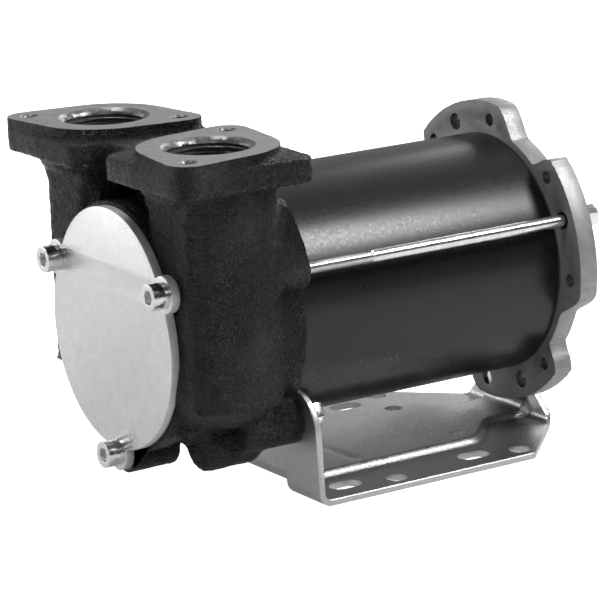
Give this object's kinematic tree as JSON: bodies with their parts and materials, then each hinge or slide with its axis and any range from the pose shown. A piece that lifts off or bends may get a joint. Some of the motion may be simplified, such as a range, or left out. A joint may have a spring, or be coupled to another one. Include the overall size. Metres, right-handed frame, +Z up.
{
  "type": "vane fuel pump",
  "caption": "Electric vane pump for diesel fuel: a cast pump body with upright flanged threaded ports, a motor tube held by tie rods and a pressed steel foot.",
  "frame": {"origin": "on the underside of the foot, midway between its four round holes", "axes": "+Y along the shaft from the pump cover to the motor's end bell, +Z up towards the ports, +X to the right as seen from the cover"},
  "size_m": [0.1334, 0.1992, 0.1377],
  "materials": {
    "black_iron": "rough sand cast iron, painted satin black, machined grey on the port faces",
    "cover_steel": "zinc plated, finely brushed",
    "zinc_steel": "bright zinc plated",
    "tube_paint": "smooth satin black paint",
    "cast_aluminium": "die cast, matt grey",
    "galvanised": "galvanised sheet steel",
    "rubber_black": "black nitrile rubber",
    "ground_steel": "ground steel",
    "vane_plastic": "moulded, matt",
    "brass_turned": "turned brass",
    "core_steel": "stacked electrical sheet",
    "copper_wire": "enamelled copper",
    "ferrite": "ferrite, matt",
    "carbon": "carbon, matt",
    "ring_plastic": "brown laminate",
    "spring_steel": "spring steel",
    "gasket_fibre": "fibre reinforced rubber"
  },
  "bodies": {
    "housing": {"pump_body": "black_iron", "front_cover": "cover_steel", "cover_screws": "zinc_steel", "cover_seal_ring": "rubber_black", "shaft_seal": "rubber_black", "bypass_spring": "spring_steel", "bypass_screw": "brass_turned", "bypass_plug": "zinc_steel", "front_bearing_outer_ring": "ground_steel", "motor_tube": "tube_paint", "magnets": "ferrite", "tube_gaskets": "gasket_fibre", "brush_ring": "ring_plastic", "brush_ring_screws": "zinc_steel", "brush_boxes": "brass_turned", "brush_spring_right": "spring_steel", "brush_spring_left": "spring_steel", "rear_bearing_outer_ring": "ground_steel", "wave_washer": "spring_steel", "end_bell": "cast_aluminium", "tie_rods": "zinc_steel", "tie_rod_washers": "zinc_steel", "cable_grommet": "rubber_black", "foot_bracket": "galvanised", "foot_studs": "zinc_steel", "foot_nuts": "zinc_steel", "foot_rear_screw": "zinc_steel", "foot_washers": "zinc_steel", "foot_spring_washers": "spring_steel"},
    "shaft": {"motor_shaft": "ground_steel", "rotor": "ground_steel", "rotor_key": "ground_steel", "front_bearing_inner_ring": "ground_steel", "rear_bearing_inner_ring": "ground_steel", "armature_core": "core_steel", "armature_windings": "copper_wire", "commutator": "copper_wire"},
    "front_ball_set": {"front_bearing_balls": "ground_steel"},
    "rear_ball_set": {"rear_bearing_balls": "ground_steel"},
    "poppet": {"bypass_poppet": "brass_turned"},
    "brush_right_body": {"brush_right": "carbon"},
    "brush_left_body": {"brush_left": "carbon"},
    "vane_body_1": {"vane_1": "vane_plastic"},
    "vane_body_2": {"vane_2": "vane_plastic"},
    "vane_body_3": {"vane_3": "vane_plastic"},
    "vane_body_4": {"vane_4": "vane_plastic"},
    "vane_body_5": {"vane_5": "vane_plastic"}
  },
  "joints": [
    {"name": "shaft_spin", "type": "hinge", "parent": "housing", "child": "shaft", "pos_m": [0, 0, 0.069], "axis": [0, 1, 0], "continuous": true},
    {"name": "front_balls_spin", "type": "hinge", "parent": "housing", "child": "front_ball_set", "pos_m": [0, -0.0756, 0.069], "axis": [0, 1, 0], "continuous": true},
    {"name": "rear_balls_spin", "type": "hinge", "parent": "housing", "child": "rear_ball_set", "pos_m": [0, 0.0559, 0.069], "axis": [0, 1, 0], "continuous": true},
    {"name": "vane_1_slide", "type": "slide", "parent": "shaft", "child": "vane_body_1", "axis": [0, 0, 1], "range_m": [0, 0.0014]},
    {"name": "vane_2_slide", "type": "slide", "parent": "shaft", "child": "vane_body_2", "axis": [-0.9511, 0, 0.309], "range_m": [0, 0.0014]},
    {"name": "vane_3_slide", "type": "slide", "parent": "shaft", "child": "vane_body_3", "axis": [-0.5878, 0, -0.809], "range_m": [0, 0.0014]},
    {"name": "vane_4_slide", "type": "slide", "parent": "shaft", "child": "vane_body_4", "axis": [0.5878, 0, -0.809], "range_m": [0, 0.0014]},
    {"name": "vane_5_slide", "type": "slide", "parent": "shaft", "child": "vane_body_5", "axis": [0.9511, 0, 0.309], "range_m": [0, 0.0014]},
    {"name": "poppet_slide", "type": "slide", "parent": "housing", "child": "poppet", "axis": [-1, 0, 0], "range_m": [0, 0.003], "stiffness_N_per_m": 2500, "springref_m": -0.006, "deforming": ["bypass_spring"]},
    {"name": "brush_right_slide", "type": "slide", "parent": "housing", "child": "brush_right_body", "axis": [1, 0, 0], "range_m": [0, 0.003], "stiffness_N_per_m": 300, "springref_m": -0.006, "deforming": ["brush_spring_right"]},
    {"name": "brush_left_slide", "type": "slide", "parent": "housing", "child": "brush_left_body", "axis": [-1, 0, 0], "range_m": [0, 0.003], "stiffness_N_per_m": 300, "springref_m": -0.006, "deforming": ["brush_spring_left"]}
  ],
  "couplings": [
    {"joint": "front_balls_spin", "follows": "shaft_spin", "ratio": 0.377},
    {"joint": "rear_balls_spin", "follows": "shaft_spin", "ratio": 0.4}
  ]
}
